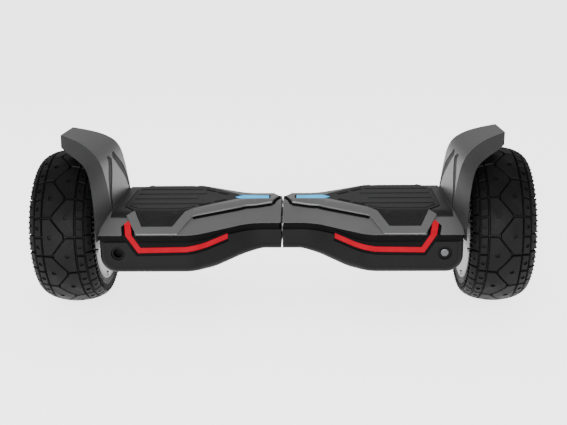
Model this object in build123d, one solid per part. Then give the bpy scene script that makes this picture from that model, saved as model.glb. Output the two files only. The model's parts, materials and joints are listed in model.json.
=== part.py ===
from build123d import *

import math
import os

# Off-road self balancing board: two deck halves that twist on a centre pivot, each with a hub motor wheel and
# a mudguard. Millimetres. X runs from the left wheel to the right wheel, Y from front to back, Z up from the
# ground. The origin is on the ground, midway between the wheels. Left parts are modelled, then mirrored.

os.makedirs("parts", exist_ok=True)

# --- Driving dimensions ---
AXLE_Z = 108.0  # wheel axle and pivot axis above the ground
TYRE_R = 108.0  # 8.5 inch tyre
TYRE_HALF_WIDTH = 44.0
TYRE_CROWN = 20.0  # radial drop from the middle of the tread to the shoulder
WHEEL_X = 291.0  # wheel centre from the middle of the board

DECK_END = 236.0  # outer end of a deck half from the middle of the board
DECK_HALF_DEPTH = 116.0
NECK_HALF_DEPTH = 58.0
SPLIT_GAP = 1.0  # half the gap between the two deck halves
BOTTOM_Z = 74.0
NECK_BOTTOM_Z = 88.0
BAND_Z = 117.0  # top of the bottom cover
BELT_Z = 126.0  # lower edge of the top cover
TOP_Z = 145.5
TOP_HALF_DEPTH = 66.0  # flat top's half depth at the feet
TOP_NECK_HALF_DEPTH = 14.0
WALL = 3.0

PAD_LIFT = 2.0  # foot pad's top above the top cover
PAD_THICKNESS = 4.4
PAD_TRAVEL = 1.2
POCKET_DEPTH = 5.0
FRAME_LIFT = 3.2
TRIM_LIFT = 1.2
PIVOT_SHAFT_R = 11.0
PIVOT_STOP_DEG = 12.0
AXLE_R = 7.5
RIM_HALF_WIDTH = 41.0
RIM_FLANGE_R = 76.0
TOOTH_COUNT = 18
MAGNET_COUNT = 20

FAR = 300.0  # longer than any feature that a cutter passes through
AXLE_LINE = Axis((0, 0, AXLE_Z), (1, 0, 0))


# --- Shared helpers ---
def save(node, shape):
    """Writes one node; a list of solids is written as a group."""
    solids = shape.solids() if not isinstance(shape, list) else [s for part in shape for s in part.solids()]
    export_step(Compound(children=solids) if len(solids) > 1 else solids[0], f"parts/{node}.step")


def mirrored(shape):
    return mirror(shape, about=Plane.YZ)


def both_halves(node, shape):
    """Writes the left node and its mirror image on the right."""
    parts = shape if isinstance(shape, list) else [shape]
    save(f"{node}_left", parts)
    save(f"{node}_right", [mirrored(p) for p in parts])


def box(d0, d1, y0, y1, z0, z1):
    """A block on the left half, where d is the distance from the middle of the board."""
    centre = ((-d0 - d1) / 2, (y0 + y1) / 2, (z0 + z1) / 2)
    return Pos(*centre) * Box(abs(d1 - d0), abs(y1 - y0), abs(z1 - z0))


def rod_x(d0, d1, radius, y=0.0, z=AXLE_Z):
    """A round bar along X on the left half, from d0 to d1."""
    return Pos(-(d0 + d1) / 2, y, z) * Rot(0, 90, 0) * Cylinder(radius, abs(d1 - d0))


def rod_y(d, z, y0, y1, radius):
    return Pos(-d, (y0 + y1) / 2, z) * Rot(90, 0, 0) * Cylinder(radius, abs(y1 - y0))


def rod_z(d, y, z0, z1, radius):
    return Pos(-d, y, (z0 + z1) / 2) * Cylinder(radius, abs(z1 - z0))


def plan_prism(points, z0=BOTTOM_Z, z1=TOP_Z + 30, grow=0.0):
    """A vertical prism over an outline of (d, y) points."""
    face = make_face(Polyline([(-d, y) for d, y in points], close=True))
    if grow:
        face = offset(face, grow, kind=Kind.INTERSECTION)
    return Pos(0, 0, z0) * extrude(face, z1 - z0)


def with_mirrored_back(points):
    """Completes an outline given from front to middle with its mirror image behind."""
    return points + [(d, -y) for d, y in reversed(points) if abs(y) > 1e-6]


def turned(points):
    """A solid of revolution about the axle from (o, r) points, with o outward from the wheel's centre."""
    face = make_face(Plane.XZ * Polyline([(-(WHEEL_X + o), AXLE_Z + r) for o, r in points], close=True))
    return revolve(face, AXLE_LINE, 360)


def ribbon(points, half_width):
    """A closed outline half_width to each side of a path, with mitred corners."""
    left, right = [], []
    for i, (px, py) in enumerate(points):
        ahead = points[min(i + 1, len(points) - 1)]
        behind = points[max(i - 1, 0)]
        directions = []
        for a, b in ((behind, (px, py)), ((px, py), ahead)):
            length = math.hypot(b[0] - a[0], b[1] - a[1])
            if length > 1e-9:
                directions.append(((b[0] - a[0]) / length, (b[1] - a[1]) / length))
        nx = sum(-v for _, v in directions) / len(directions)
        ny = sum(u for u, _ in directions) / len(directions)
        reach = half_width / (nx * nx + ny * ny)
        left.append((px + nx * reach, py + ny * reach))
        right.append((px - nx * reach, py - ny * reach))
    return left + right[::-1]


# --- Deck envelope ---
NECK_TURN = 42.0  # where the narrow neck starts to widen
FULL_TURN = 112.0  # where it reaches the full depth
TOP_NECK_TURN = 50.0
TOP_FULL_TURN = 128.0


def deck_outline(neck_turn, full_turn, neck_half, full_half, radii, inset):
    """The plan of one deck half: a narrow neck that widens to the full depth."""
    near, far = SPLIT_GAP, DECK_END
    front = [(near, -neck_half), (neck_turn, -neck_half), (full_turn, -full_half), (far, -full_half)]
    points = front + [(d, -y) for d, y in reversed(front)]
    face = make_face(Polyline([(-d, y) for d, y in points], close=True))
    for turn, radius in zip((neck_turn, full_turn), radii):
        corners = [v for v in face.vertices() if abs(v.X + turn) < 0.01]
        face = fillet(corners, radius)
    return offset(face, -inset, kind=Kind.INTERSECTION) if inset else face


def belt_outline(inset=0.0):
    return deck_outline(NECK_TURN, FULL_TURN, NECK_HALF_DEPTH, DECK_HALF_DEPTH, (50, 40), inset)


def top_outline(inset=0.0):
    return deck_outline(
        TOP_NECK_TURN, TOP_FULL_TURN, TOP_NECK_HALF_DEPTH, TOP_HALF_DEPTH, (50, 40), inset
    )


def upper_body(inset=0.0):
    """The sloped upper half of the deck, its surfaces moved in by inset (out when negative)."""
    low = Pos(0, 0, BELT_Z) * belt_outline(inset)
    high = Pos(0, 0, TOP_Z - inset) * top_outline(inset)
    return loft([low, high], ruled=True)


def lower_body(inset=0.0, top=BAND_Z):
    """The lower half of the deck: a tub whose floor rises towards the neck."""
    floor, neck_floor, end = BOTTOM_Z + inset, NECK_BOTTOM_Z + inset, DECK_END - inset
    tub = Pos(0, 0, floor) * extrude(belt_outline(inset), top - floor)
    side = FilletPolyline(
        [(0, neck_floor), (-26, neck_floor), (-90, floor), (-end, floor), (-end, top)],
        radius=[40, 60, 22 - inset],
    )
    profile = make_face(Plane.XZ * (side + Polyline([(-end, top), (0, top), (0, neck_floor)])))
    tub = tub & extrude(profile, FAR, both=True)
    low_edges = [
        e
        for e in tub.edges()
        if e.center().Z < NECK_BOTTOM_Z + inset + 5
        and abs(e.center().Y) > NECK_HALF_DEPTH - inset - 2
        and abs(e.tangent_at(0.5).Z) < 0.9
    ]
    return fillet(low_edges, 11 - inset)


def whole_body(inset=0.0):
    return lower_body(inset, BELT_Z) + upper_body(inset)


# --- Light strips on the front and back faces ---
LIGHT_PATH = [(203.0, 136.5), (183.0, 105.8), (122.0, 106.8), (96.0, 109.5), (70.0, 115.0)]
LIGHT_HALF_WIDTH = 3.6
LIGHT_BORDER = 3.4


def light_prism(half_width, front=True):
    """The strip's outline, pushed through the front or back face as far as the slope needs."""
    outline = [(-d, z) for d, z in ribbon(LIGHT_PATH, half_width)]
    face = make_face(Plane.XZ * Polyline(outline, close=True))
    if half_width > LIGHT_HALF_WIDTH:
        # The surround also fills the space between the strip and the band above it.
        (bend_d, bend_z), (end_d, end_z) = LIGHT_PATH[1], LIGHT_PATH[0]
        band_d = bend_d + (end_d - bend_d) * (BAND_Z - bend_z) / (end_z - bend_z)
        filled = [*LIGHT_PATH[1:], (LIGHT_PATH[-1][0], BAND_Z), (band_d, BAND_Z)]
        face = face + make_face(Plane.XZ * Polyline([(-d, z) for d, z in filled], close=True))
    y_middle = -105 if front else 105
    return Pos(0, y_middle, 0) * extrude(face, 25, both=True)


def front_and_back(make):
    return [make(True), make(False)]


# --- Deck covers ---
PAD_FRONT = [
    (213.0, -47.0), (195.0, -70.5), (181.5, -101.0), (141.0, -101.0),
    (127.5, -72.0), (62.0, -12.5), (17.0, -11.0),
]
FRAME_FRONT = [
    (204.5, -80.0), (186.5, -114.5), (133.0, -114.5), (117.0, -78.0),
    (50.0, -29.0), (14.0, -21.0), (5.0, 0.0),
]
TRIM_FRONT = [(213.5, -47.0), (196.0, -70.5), (205.5, -80.0), (226.0, -80.0)]
LENS_OUTLINE = [(66.0, 0.0), (56.0, -9.5), (19.5, -7.5), (19.5, 7.5), (56.0, 9.5)]
PLUNGERS = [(170.0, -40.0), (170.0, 40.0), (118.0, 0.0)]
PORT_D = 211.0
PORT_Z = 102.0
RECESS_R = 9.0
SLEEVE_R = 16.0
BOSS_TOP_Z = 86.0
CASE_SCREWS = [(128.0, 80.0), (170.0, 88.0), (209.0, 76.0)]
FENDER_SCREWS = [(-50.0, 112.0), (50.0, 112.0), (-50.0, 134.0), (50.0, 134.0)]
SCREW_R = 1.6

pad_outline = with_mirrored_back(PAD_FRONT)
body_skin = {t: whole_body(t) for t in (1.0, 1.6, 3.5, 5.0)}
pad_under = PAD_THICKNESS - PAD_LIFT
skin_depths = (-FRAME_LIFT, -PAD_LIFT, -TRIM_LIFT, 0.0, WALL, pad_under, POCKET_DEPTH, POCKET_DEPTH + 2.5)
upper_skin = {t: upper_body(t) for t in skin_depths}
pivot_passage = rod_x(-5, 20, SLEEVE_R + 0.5)
axle_passage = rod_x(DECK_END - 10, DECK_END + 10, 12.0)


def make_top_cover():
    """The grey upper shell, with a pocket for the foot pad and slots for the light strips."""
    cover = upper_skin[0.0] - upper_skin[WALL]
    pocket = plan_prism(pad_outline)
    cover = cover + ((upper_skin[WALL] - upper_skin[POCKET_DEPTH + 2.5]) & plan_prism(pad_outline, grow=WALL))
    for d, y in CASE_SCREWS:
        for sign in (-1, 1):
            cover = cover + (rod_z(d, sign * y, BOSS_TOP_Z, TOP_Z, 5.0) & body_skin[1.6])
            cover = cover - rod_z(d, sign * y, BOSS_TOP_Z - 1, BOSS_TOP_Z + 10, SCREW_R)
    cover = cover - (pocket - upper_skin[POCKET_DEPTH])
    for front in (True, False):
        cover = cover - light_prism(LIGHT_HALF_WIDTH + LIGHT_BORDER, front)
    for d, y in PLUNGERS:
        cover = cover - rod_z(d, y, BELT_Z, TOP_Z, 5.0)
    for y, z in FENDER_SCREWS:
        cover = cover - rod_x(DECK_END - 10, DECK_END + 5, SCREW_R, y, z)
    return cover


def make_bottom_cover(side):
    """The black tub, open at the top, with the pivot, axle, screw and fitting holes."""
    cover = lower_body() - lower_body(WALL, BAND_Z + 1)
    cover = cover - pivot_passage - axle_passage
    for front in (True, False):
        cover = cover - light_prism(LIGHT_HALF_WIDTH + LIGHT_BORDER, front)
    for d, y in CASE_SCREWS:
        for sign in (-1, 1):
            cover = cover - rod_z(d, sign * y, BOTTOM_Z - 1, BOTTOM_Z + 2, 3.2)
            cover = cover - rod_z(d, sign * y, BOTTOM_Z, BOTTOM_Z + 5, SCREW_R)
    for y, z in FENDER_SCREWS:
        cover = cover - rod_x(DECK_END - 10, DECK_END + 5, SCREW_R, y, z)
    cover = cover - rod_y(PORT_D, PORT_Z, -DECK_HALF_DEPTH - 5, -DECK_HALF_DEPTH + 5, RECESS_R)
    if side == "right":
        for ring, count in ((0, 1), (6, 6), (12, 12)):
            for i in range(count):
                angle = 2 * math.pi * i / count
                d = SPEAKER_D + ring * math.cos(angle)
                cover = cover - rod_z(d, ring * math.sin(angle), BOTTOM_Z - 1, BOTTOM_Z + 5, 1.6)
    return cover


def make_belt_trim():
    """The recessed black band between the two covers."""
    ring = extrude(belt_outline(2.0), BELT_Z - BAND_Z) - extrude(belt_outline(7.5), BELT_Z - BAND_Z)
    ring = Pos(0, 0, BAND_Z) * ring - pivot_passage - axle_passage
    for front in (True, False):
        ring = ring - (light_prism(LIGHT_HALF_WIDTH + LIGHT_BORDER, front) - body_skin[5.0])
    return ring


def make_pad_frame():
    """The raised grey band that edges the foot pad, in one piece round the arrow tip."""
    front = [*FRAME_FRONT, (PAD_FRONT[-1][0], 0.0), *PAD_FRONT[:0:-1]]
    band = plan_prism(front) + plan_prism([(d, -y) for d, y in front])
    return (upper_skin[-FRAME_LIFT] - upper_skin[0.0]) & band


def make_deck_trim():
    """The low black strip between the foot pad and the mudguard."""
    return (upper_skin[-TRIM_LIFT] - upper_skin[0.0]) & plan_prism(with_mirrored_back(TRIM_FRONT))


def make_foot_pad():
    """The rubber mat with its three switch plungers, clear of its pocket all round."""
    region = plan_prism(pad_outline, grow=-0.5) - plan_prism(LENS_OUTLINE, grow=0.6)
    pad = (upper_skin[-PAD_LIFT] - upper_skin[pad_under]) & region
    for d, y in PLUNGERS:
        pad = pad + rod_z(d, y, PLUNGER_FOOT_Z, TOP_Z - pad_under + 0.5, 3.5)
    return pad


def make_light_lens(front):
    skin = body_skin[1.6] - body_skin[3.5]
    return skin & light_prism(LIGHT_HALF_WIDTH, front)


def make_light_bezel(front):
    """A black tray round and behind the lens."""
    tray = (body_skin[1.0] - body_skin[5.0]) & light_prism(LIGHT_HALF_WIDTH + LIGHT_BORDER, front)
    tray = tray - (light_prism(LIGHT_HALF_WIDTH, front) - body_skin[3.5])
    return tray.solids().sort_by(SortBy.VOLUME)[-1]  # without the sliver beyond the strip's end


# --- Mudguard ---
# Stations along the arch: distance d and height z of the middle of the outer face, tilt of its normal in
# degrees, half width of that face, half width at the free edges, and how far the edges drop.
FENDER_STATIONS = [
    (226.5, 118.0, 0, 66, 118, 11.5),
    (227.5, 146.0, 0, 64, 113, 12.0),
    (230.0, 166.0, 3, 63, 106, 11.5),
    (233.0, 186.0, 8, 62, 98, 12.0),
    (237.5, 205.0, 20, 62, 88, 13.5),
    (245.5, 219.0, 40, 59, 76, 16.0),
    (260.0, 230.0, 58, 50, 63, 18.0),
    (278.0, 237.5, 69, 40, 52, 17.0),
    (298.0, 243.0, 100, 32, 43, 15.0),
]
FENDER_WALL = 3.2
# The front inlay strip: height on the arch, distance of its middle in front of the axle, half width.
INLAY_PATH = [(146.0, 58.0, 2.0), (168.0, 51.0, 7.0), (188.0, 33.0, 13.0), (205.0, 13.0, 10.0), (214.0, 19.0, 1.5)]
INLAY_DEPTH = 1.6


def smooth_stations(stations, steps=3):
    """Adds stations between the given ones along a smooth curve through them."""
    ends = [stations[0], *stations, stations[-1]]
    refined = []
    for before, start, end, after in zip(ends, ends[1:], ends[2:], ends[3:]):
        for i in range(steps):
            t = i / steps
            refined.append(
                tuple(
                    b + 0.5 * t * (c - a + t * (2 * a - 5 * b + 4 * c - d + t * (3 * (b - c) + d - a)))
                    for a, b, c, d in zip(before, start, end, after)
                )
            )
    return [*refined, stations[-1]]


def fender_section(station, inset):
    """The open hat section of the arch as a closed outline from front edge to back edge."""
    d, z, tilt, half_face, half_edge, drop = station
    nx, nz = math.cos(math.radians(tilt)), math.sin(math.radians(tilt))

    def point(depth, y):
        return Vector(-d - nx * depth, y, z - nz * depth)

    face = half_face - inset * 0.6
    edge = half_edge - inset
    return [
        point(drop, -edge),
        point(inset, -face),
        point(inset, face),
        point(drop, edge),
    ]


def make_fender():
    """A thin arch from the deck end over the inner half of the tyre, with a shelf and a flange for bolts."""
    sections = []
    for station in smooth_stations(FENDER_STATIONS):
        ring = fender_section(station, 0.0) + fender_section(station, FENDER_WALL)[::-1]
        sections.append(make_face(Polyline(ring, close=True)))
    arch = loft(sections, ruled=True)
    shelf = box(229, 238, -58, 58, TOP_Z, TOP_Z + 3)
    flange = box(DECK_END, DECK_END + 2.5, -60, 60, 98, TOP_Z + 3)
    guard = arch + shelf + flange
    guard = guard - upper_skin[0.0] - (Pos(0, 0, BOTTOM_Z) * extrude(belt_outline(), BELT_Z - BOTTOM_Z))
    guard = guard - rod_x(DECK_END - 10, DECK_END + 10, 13.0)
    for y, z in FENDER_SCREWS:
        guard = guard - rod_x(DECK_END - 5, DECK_END + 5, SCREW_R, y, z)
    for channel in (inlay_prism(0.0, INLAY_DEPTH), inlay_prism(0.0, INLAY_DEPTH, front=False)):
        guard = guard - channel
    return max(guard.solids(), key=lambda s: s.volume)


def inlay_place(z):
    """Middle and half width of the front inlay strip at a height on the arch."""
    for (low, *start), (high, *end) in zip(INLAY_PATH, INLAY_PATH[1:]):
        if low <= z <= high:
            share = (z - low) / (high - low)
            return [a + (b - a) * share for a, b in zip(start, end)]


def inlay_prism(grow, depth, front=True):
    """The blade-shaped channel that runs up the arch from its front or back foot to near its middle."""
    sections = []
    for d, z, tilt, *_rest in smooth_stations(FENDER_STATIONS):
        if INLAY_PATH[0][0] <= z <= INLAY_PATH[-1][0]:
            nx, nz = math.cos(math.radians(tilt)), math.sin(math.radians(tilt))
            middle, half_width = inlay_place(z)
            near, far = middle - half_width - grow, middle + half_width + grow
            corners = ((-3, -far), (-3, -near), (depth, -near), (depth, -far))
            ring = [Vector(-d - nx * t, y, z - nz * t) for t, y in corners]
            sections.append(make_face(Polyline(ring, close=True)))
    blade = loft(sections, ruled=True)
    return blade if front else mirror(blade, about=Plane.XZ)


def make_fender_inlay(front):
    """The darker strip that fills a channel, a little below the surface round it."""
    strip = inlay_prism(-0.3, INLAY_DEPTH - 0.1, front) - inlay_prism(4.0, 0.5, front)
    return max(strip.solids(), key=lambda s: s.volume)


# --- Wheel and hub motor ---
# Each bearing: start and end along the axle, bore, outside radius and ball pitch radius.
BEARINGS = [
    (WHEEL_X - 38.9, WHEEL_X - 28.1, 7.5, 17.5, 12.5),
    (WHEEL_X + 20.1, WHEEL_X + 28.9, 6.0, 16.0, 11.0),
]
BALL_R = 2.4


def make_tyre():
    """A solid tyre: elliptical crown, upright side walls and a bead seat on the rim."""
    shoulder_r = TYRE_R - TYRE_CROWN
    middle = (-WHEEL_X, AXLE_Z + shoulder_r)
    crown = EllipticalCenterArc(middle, TYRE_HALF_WIDTH, TYRE_CROWN, start_angle=0, arc_size=180)
    seat = [
        (-TYRE_HALF_WIDTH, shoulder_r),
        (-TYRE_HALF_WIDTH + 2, 80.0),
        (-RIM_HALF_WIDTH + 0.5, RIM_FLANGE_R),
        (-RIM_HALF_WIDTH + 3.5, RIM_FLANGE_R),
        (-RIM_HALF_WIDTH + 3.5, 71.0),
    ]
    loop = seat + [(-o, r) for o, r in reversed(seat)]
    sides = Polyline([(-(WHEEL_X + o), AXLE_Z + r) for o, r in loop])
    face = make_face(Plane.XZ * (crown + sides))
    return revolve(face, AXLE_LINE, 360)


def make_rim():
    """The rotor drum with its closed outer face, tyre flanges and outer bearing seat."""
    w = RIM_HALF_WIDTH
    drum = turned(
        [
            (-w, 71.5), (-w, RIM_FLANGE_R), (-w + 3.5, RIM_FLANGE_R), (-w + 3.5, 71.0),
            (w - 3.5, 71.0), (w - 3.5, RIM_FLANGE_R), (w, RIM_FLANGE_R), (w, 66.0),
            (w - 5, 56.0), (w - 8, 30.0), (w - 4, 24.0), (w - 4, 0.0),
            (w - 11, 0.0), (w - 11, 16.0), (20.0, 16.0), (20.0, 20.0),
            (w - 13, 30.0), (w - 9, 60.0), (w - 10, 66.0), (-38.0, 66.0), (-38.0, 71.5),
        ]
    )
    for i in range(6):
        angle = math.radians(60 * i)
        y, z = 44 * math.cos(angle), AXLE_Z + 44 * math.sin(angle)
        drum = drum - rod_x(WHEEL_X + w - 7.0, WHEEL_X + w + 4, 5.0, y, z)
    return drum


def make_motor_cover():
    """The plate that closes the drum towards the deck, with the inner bearing seat."""
    plate = turned(
        [
            (-41.0, 9.5), (-41.0, 71.4), (-38.0, 71.4), (-38.0, 64.0), (-36.0, 60.0), (-36.0, 26.0),
            (-28.0, 22.0), (-28.0, 17.5), (-39.0, 17.5), (-39.0, 9.5),
        ]
    )
    for i in range(6):
        y, z = motor_screw_place(i)
        plate = plate - rod_x(WHEEL_X - 42, WHEEL_X - 37, SCREW_R, y, z)
    return plate


def motor_screw_place(i):
    angle = math.radians(60 * i + 15)
    return 68.7 * math.cos(angle), AXLE_Z + 68.7 * math.sin(angle)


def make_motor_screws():
    screws = []
    for i in range(6):
        y, z = motor_screw_place(i)
        head = rod_x(WHEEL_X - 43.2, WHEEL_X - 41, 2.7, y, z)
        socket = rod_x(WHEEL_X - 43.5, WHEEL_X - 42, 1.3, y, z)
        screws.append(head - socket + rod_x(WHEEL_X - 41, WHEEL_X - 38, SCREW_R, y, z))
    return screws


def make_magnets():
    ring = turned([(-15, 62.6), (-15, 65.95), (15, 65.95), (15, 62.6)])
    magnets = []
    for i in range(MAGNET_COUNT):
        wedge_angle = 360 / MAGNET_COUNT
        slot = Pos(0, 0, AXLE_Z) * Rot(wedge_angle * i, 0, 0) * Pos(-WHEEL_X, 0, 64) * Box(40, 17.5, 12)
        magnets.append(ring & slot)
    return magnets


def make_stator_core():
    """Eighteen teeth with wide tips on a hub that is keyed to the axle."""
    core = rod_x(WHEEL_X - 13, WHEEL_X + 13, 34.0) - rod_x(WHEEL_X - 20, WHEEL_X + 20, 10.0)
    rim_ring = rod_x(WHEEL_X - 13, WHEEL_X + 13, 60.5)
    for i in range(TOOTH_COUNT):
        turn = Pos(0, 0, AXLE_Z) * Rot(360 / TOOTH_COUNT * i, 0, 0) * Pos(-WHEEL_X, 0, 0)
        tooth = turn * Pos(0, 0, 46) * Box(26, 5, 30)
        tip = (turn * Pos(0, 0, 60) * Box(26, 16, 4)) & rim_ring
        core = core + tooth + tip
    return core


def make_windings():
    coils = []
    for i in range(TOOTH_COUNT):
        turn = Pos(0, 0, AXLE_Z) * Rot(360 / TOOTH_COUNT * i, 0, 0) * Pos(-WHEEL_X, 0, 46.5)
        body = Box(35, 10.4, 17)
        body = fillet(body.edges().filter_by(Axis.Z), 3)
        coils.append(turn * (body - Box(26, 5, 20)))
    return coils


def make_axle():
    """Stepped axle: outer bearing, stator seat, inner bearing, then a length with two flats for the clamp."""
    shaft = rod_x(WHEEL_X + 18, WHEEL_X + 29, 6.0) + rod_x(WHEEL_X - 22, WHEEL_X + 18, 10.0)
    shaft = shaft + rod_x(AXLE_IN_D, WHEEL_X - 22, AXLE_R)
    for sign in (-1, 1):
        z_low = AXLE_Z + sign * AXLE_FLAT if sign > 0 else AXLE_Z - 20
        z_high = AXLE_Z + 20 if sign > 0 else AXLE_Z - AXLE_FLAT
        shaft = shaft - box(AXLE_IN_D - 1, SADDLE_END_D, -10, 10, z_low, z_high)
    return shaft


def make_bearing_rings(outer):
    """Both bearings' outer races, or their inner races with the balls."""
    rings = []
    for d0, d1, bore, outside, pitch in BEARINGS:
        if outer:
            rings.append(rod_x(d0, d1, outside) - rod_x(d0 - 1, d1 + 1, pitch + BALL_R + 0.05))
            continue
        ring = rod_x(d0, d1, pitch - BALL_R + 0.3) - rod_x(d0 - 1, d1 + 1, bore)
        for i in range(9):
            angle = 2 * math.pi * (i + 0.5) / 9
            ball_centre = (-(d0 + d1) / 2, pitch * math.cos(angle), AXLE_Z + pitch * math.sin(angle))
            ring = ring + Pos(*ball_centre) * Sphere(BALL_R)
        rings.append(ring)
    return rings


# --- Chassis and pivot ---
AXLE_IN_D = 197.0
SADDLE_END_D = 226.0
AXLE_FLAT = 6.0
WEB_D = 74.0
TRAY_TOP_Z = 81.0
BUSH_R = 13.0
BUSHES = ((2.2, 17.0), (57.0, 73.0))
STOP_D = 37.0
STOP_PIN_R = 2.4
CLAMP_BOLTS = [(205.0, -16.0), (205.0, 16.0), (218.0, -16.0), (218.0, 16.0)]


def make_chassis(side):
    """The cast tray with a web and sleeve at the pivot and a split saddle at the motor axle."""
    tray = Pos(0, 0, BOTTOM_Z + WALL) * extrude(belt_outline(14.0), 26)
    hollow = Pos(0, 0, TRAY_TOP_Z) * extrude(belt_outline(19.0), 40)
    tray = (tray - hollow) & box(WEB_D - 6, 232.8, -110, 110, 70, 110)
    sleeve = rod_x(2, WEB_D, SLEEVE_R)
    web = box(WEB_D - 6, WEB_D, -60, 60, BOTTOM_Z + WALL, 123)
    end_plate = box(SADDLE_END_D, 232.8, -75, 75, BOTTOM_Z + WALL, 124)
    saddle = box(AXLE_IN_D, SADDLE_END_D, -30, 30, BOTTOM_Z + WALL, AXLE_Z)
    chassis = tray + sleeve + web + end_plate + saddle
    chassis = chassis & lower_inside
    for screw_d, screw_y in CASE_SCREWS:
        for sign in (-1, 1):
            boss = rod_z(screw_d, sign * screw_y, BOTTOM_Z + WALL, BOSS_TOP_Z, 5)
            chassis = chassis + boss - rod_z(screw_d, sign * screw_y, BOTTOM_Z, BOSS_TOP_Z + 1, SCREW_R)
    bore = BUSH_R if side == "left" else PIVOT_SHAFT_R
    chassis = chassis - rod_x(-5, WEB_D + 10, bore)
    chassis = chassis - box(AXLE_IN_D - 1, SADDLE_END_D, -AXLE_R, AXLE_R, AXLE_Z - AXLE_FLAT, AXLE_Z + 20)
    chassis = chassis - rod_x(SADDLE_END_D - 1, DECK_END, AXLE_R + 0.3)
    for d, y in CLAMP_BOLTS:
        chassis = chassis - rod_z(d, y, AXLE_Z - 18, AXLE_Z + 1, 3.0)
    for y, z in FENDER_SCREWS:
        chassis = chassis - rod_x(DECK_END - 10, DECK_END, SCREW_R, y, z)
    if side == "left":
        for share in (-1, -0.5, 0, 0.5, 1):
            chassis = chassis - stop_pin(STOP_PIN_R + 0.6, 20, share * (PIVOT_STOP_DEG + 0.5))
    return chassis


def stop_pin(radius, reach, degrees=0.0):
    pin = Pos(-STOP_D, 0, PIVOT_SHAFT_R - 3 + reach / 2) * Cylinder(radius, reach)
    return Pos(0, 0, AXLE_Z) * Rot(degrees, 0, 0) * pin


def make_axle_clamp():
    """The saddle's cap with its four bolts."""
    cap = box(AXLE_IN_D, SADDLE_END_D - 0.2, -24, 24, AXLE_Z, AXLE_Z + 12)
    cap = cap - box(AXLE_IN_D - 1, SADDLE_END_D, -AXLE_R, AXLE_R, AXLE_Z - 1, AXLE_Z + AXLE_FLAT)
    pieces = []
    for d, y in CLAMP_BOLTS:
        cap = cap - rod_z(d, y, AXLE_Z - 1, AXLE_Z + 20, 3.0)
        head = rod_z(d, y, AXLE_Z + 12, AXLE_Z + 17, 5.0) - rod_z(d, y, AXLE_Z + 14.5, AXLE_Z + 18, 2.4)
        pieces.append(head + rod_z(d, y, AXLE_Z - 16, AXLE_Z + 12, 3.0))
    return [cap, *pieces]


def make_case_screws():
    """The bottom cover's screws and the mudguard's screws."""
    screws = []
    for d, y in CASE_SCREWS:
        for sign in (-1, 1):
            head = rod_z(d, sign * y, BOTTOM_Z + 0.3, BOTTOM_Z + 2, 3.0)
            slot = box(d - 2, d + 2, sign * y - 0.4, sign * y + 0.4, BOTTOM_Z, BOTTOM_Z + 1)
            screws.append(head - slot + rod_z(d, sign * y, BOTTOM_Z + 2, BOSS_TOP_Z + 9, SCREW_R))
    for y, z in FENDER_SCREWS:
        thread_end = DECK_END - 9 if z < 120 else DECK_END - 4
        head = rod_x(DECK_END + 2.5, DECK_END + 4.5, 3.0, y, z)
        screws.append(head + rod_x(thread_end, DECK_END + 2.5, SCREW_R, y, z))
    return screws


def make_pivot_shaft():
    """The hollow shaft, fast in the right chassis and turning in the left one."""
    length = 2 * WEB_D + 8
    tube = Pos(0, 0, AXLE_Z) * Rot(0, 90, 0) * (Cylinder(PIVOT_SHAFT_R, length) - Cylinder(7.0, length + 2))
    groove = rod_x(WEB_D + 1.0, WEB_D + 2.6, 12) - rod_x(WEB_D + 0.9, WEB_D + 2.7, 10)
    return tube - groove - stop_pin(STOP_PIN_R, 8)


def make_pivot_bushes():
    """Two plain bushes in the left sleeve, with running clearance on the shaft."""
    return [rod_x(d0, d1, BUSH_R) - rod_x(d0 - 1, d1 + 1, PIVOT_SHAFT_R + 0.05) for d0, d1 in BUSHES]


def make_pivot_retainers():
    """The retaining ring at the shaft's left end and the stop pin that limits the twist."""
    ring = rod_x(WEB_D + 1.05, WEB_D + 2.55, 14.5) - rod_x(WEB_D, WEB_D + 4, 10.0)
    return [ring - box(WEB_D, WEB_D + 4, -4, 4, AXLE_Z - 20, AXLE_Z - 8), stop_pin(STOP_PIN_R, 8)]


# --- Electrics ---
GATE_TOP_Z = 125.2  # of the light gates under the foot pad
PLUNGER_FOOT_Z = GATE_TOP_Z + PAD_TRAVEL + 0.6  # clear of the gates with the pad fully down
SPEAKER_D = 125.0
WALL_Y = -DECK_HALF_DEPTH + WALL  # inside of the front wall
SOCKET_R = 6.2
CAP_R = 5.5


def make_battery():
    """A shrink-wrapped block of ten cells."""
    pack = box(97, 193, -36, 36, TRAY_TOP_Z, TRAY_TOP_Z + 37.5)
    return fillet(pack.edges().filter_by(Axis.X), 9)


def make_main_board():
    """The control board on its heat sink, with capacitors and driver transistors."""
    sink = box(97, 187, -45, 45, TRAY_TOP_Z + 18, TRAY_TOP_Z + 22)
    for d in (97, 183):
        for y in (-45, 41):
            sink = sink + box(d, d + 4, y, y + 4, TRAY_TOP_Z, TRAY_TOP_Z + 18)
    top = TRAY_TOP_Z + 23.6
    pieces = [sink, box(97, 187, -45, 45, top - 1.6, top)]
    pieces += [rod_z(108 + 16 * i, -32, top, top + 12, 5) for i in range(2)]
    pieces += [box(104 + 13 * i, 113 + 13 * i, 25, 30, top, top + 14) for i in range(6)]
    pieces.append(box(135, 151, -10, 6, top, top + 3))
    return pieces


def make_sensor_board():
    """The gyro board with a light gate under each plunger of the foot pad."""
    board = box(104, 186, -50, 50, 121.0, 122.6)
    gates = [box(d - 6, d + 6, y - 4, y + 4, 122.6, GATE_TOP_Z) for d, y in PLUNGERS]
    return [board, *gates, box(140, 148, -14, -6, 122.6, 124.4)]


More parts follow.
